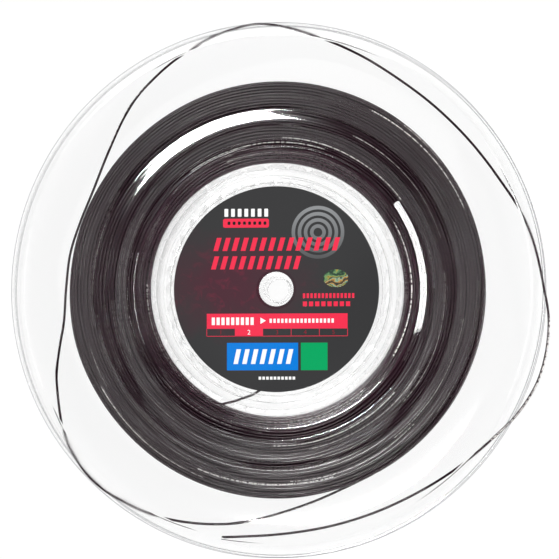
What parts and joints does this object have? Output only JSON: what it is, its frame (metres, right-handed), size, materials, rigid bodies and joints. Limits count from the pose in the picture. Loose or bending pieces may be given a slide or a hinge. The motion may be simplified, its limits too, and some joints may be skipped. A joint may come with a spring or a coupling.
{
  "type": "string reel",
  "caption": "Flat clear spool of wound racket string with a round dark label, a central spindle bore and a loose string end between its flanges.",
  "frame": {"origin": "on the reel's axis at the rear hub face that it lies on", "axes": "+Z along the reel's axis towards the labelled front, +Y towards the top of the label, +X to its right"},
  "size_m": [0.2719, 0.2706, 0.022],
  "materials": {
    "clear_plastic": "clear moulded polystyrene, polished",
    "label_film": "printed film, glossy",
    "seal_foil": "iridescent foil, glossy",
    "string_polyester": "drawn polyester monofilament, semi-gloss"
  },
  "bodies": {
    "root": {"front_flange": "clear_plastic", "rear_flange": "clear_plastic", "front_label": "label_film", "oval_seal": "seal_foil", "winding_core": "string_polyester", "string_winding": "string_polyester", "string_start": "string_polyester", "string_tail": "string_polyester"}
  },
  "joints": []
}
